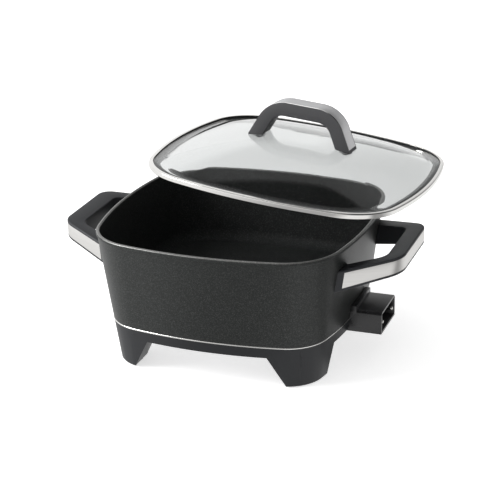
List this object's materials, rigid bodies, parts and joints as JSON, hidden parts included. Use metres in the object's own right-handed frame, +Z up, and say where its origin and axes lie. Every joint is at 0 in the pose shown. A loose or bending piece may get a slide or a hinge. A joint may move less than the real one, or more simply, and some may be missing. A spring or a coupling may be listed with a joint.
{
  "type": "electric skillet",
  "caption": "Deep square electric skillet with hollow-leg base, looped side handles, probe socket and a loose domed glass lid lifted and tilted above the rim.",
  "frame": {"origin": "on the table plane under the middle of the pan, between the four feet", "axes": "+X to the side with the probe socket, +Y to the back, +Z up"},
  "size_m": [0.4077, 0.3494, 0.2751],
  "materials": {
    "pan": "dark speckled non-stick coating, satin",
    "heating_element": "dull heat-stained sheath",
    "pin_insulators": "unglazed white ceramic",
    "terminal_pins": "bright plated",
    "sensor_well": "as machined",
    "base_skirt": "black phenolic, satin",
    "trim_ring": "bright polished",
    "foot_pads": "matte black",
    "base_screws": "zinc plated",
    "connector_shroud": "black phenolic, satin",
    "shroud_screws": "zinc plated",
    "left_handle": "black phenolic, satin",
    "right_handle": "black phenolic, satin",
    "left_handle_band": "brushed along its length",
    "right_handle_band": "brushed along its length",
    "left_handle_screws": "zinc plated",
    "right_handle_screws": "zinc plated",
    "lid_glass": "clear tempered glass",
    "lid_gasket": "dark silicone",
    "lid_band": "polished stainless steel",
    "lid_handle": "charcoal phenolic, matte",
    "lid_handle_inlay": "satin silver",
    "lid_pads": "dark silicone",
    "lid_washers": "plated",
    "lid_screws": "zinc plated"
  },
  "bodies": {
    "skillet": {"pan": "pan", "heating_element": "heating_element", "pin_insulators": "pin_insulators", "terminal_pins": "terminal_pins", "sensor_well": "sensor_well", "base_skirt": "base_skirt", "trim_ring": "trim_ring", "foot_pads": "foot_pads", "base_screws": "base_screws", "connector_shroud": "connector_shroud", "shroud_screws": "shroud_screws", "left_handle": "left_handle", "right_handle": "right_handle", "left_handle_band": "left_handle_band", "right_handle_band": "right_handle_band", "left_handle_screws": "left_handle_screws", "right_handle_screws": "right_handle_screws"},
    "lid": {"lid_glass": "lid_glass", "lid_gasket": "lid_gasket", "lid_band": "lid_band", "lid_handle": "lid_handle", "lid_handle_inlay": "lid_handle_inlay", "lid_pads": "lid_pads", "lid_washers": "lid_washers", "lid_screws": "lid_screws"}
  },
  "joints": [
    {"name": "lid_lift", "type": "hinge", "parent": "skillet", "child": "lid", "pos_m": [0.5174, -0.0291, -0.3479], "axis": [-0.3578, 0.8359, -0.4162], "range_deg": [-6.56, 4]}
  ]
}
